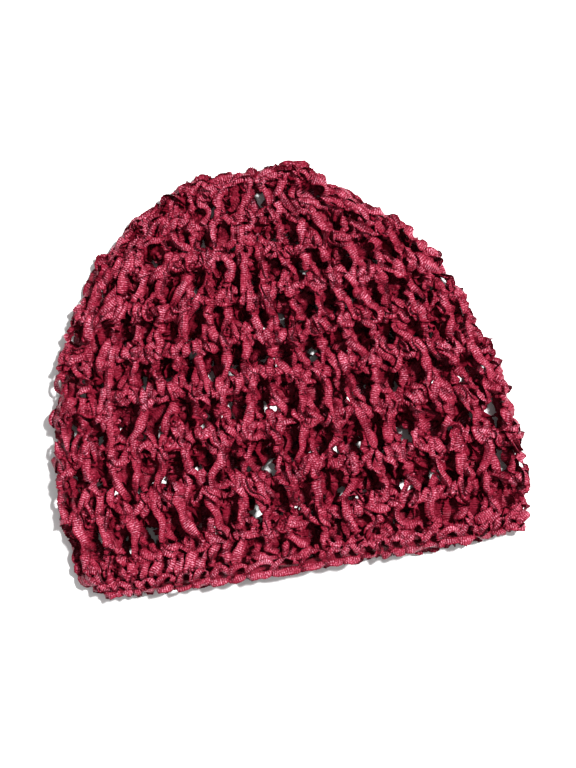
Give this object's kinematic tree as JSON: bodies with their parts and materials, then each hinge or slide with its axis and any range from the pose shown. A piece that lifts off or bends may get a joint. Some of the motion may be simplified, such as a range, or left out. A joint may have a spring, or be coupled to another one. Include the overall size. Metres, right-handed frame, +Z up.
{
  "type": "crocheted slouchy hat",
  "caption": "Soft openwork cap lying flat as a rounded two-layer pocket, with a dense ring at the crown, open rounds of stitches and a dense brim band round the head opening.",
  "frame": {"origin": "middle of the bounding box at the flat underside that the hat rests on", "axes": "+X along the brim, +Y from the brim to the crown, +Z up through both layers"},
  "size_m": [0.2354, 0.2034, 0.0186],
  "materials": {
    "yarn": "satin ribbon yarn, wine red, cross ribbed"
  },
  "bodies": {
    "root": {"crown_ring": "yarn", "mesh_crown": "yarn", "brim_band": "yarn"}
  },
  "joints": []
}
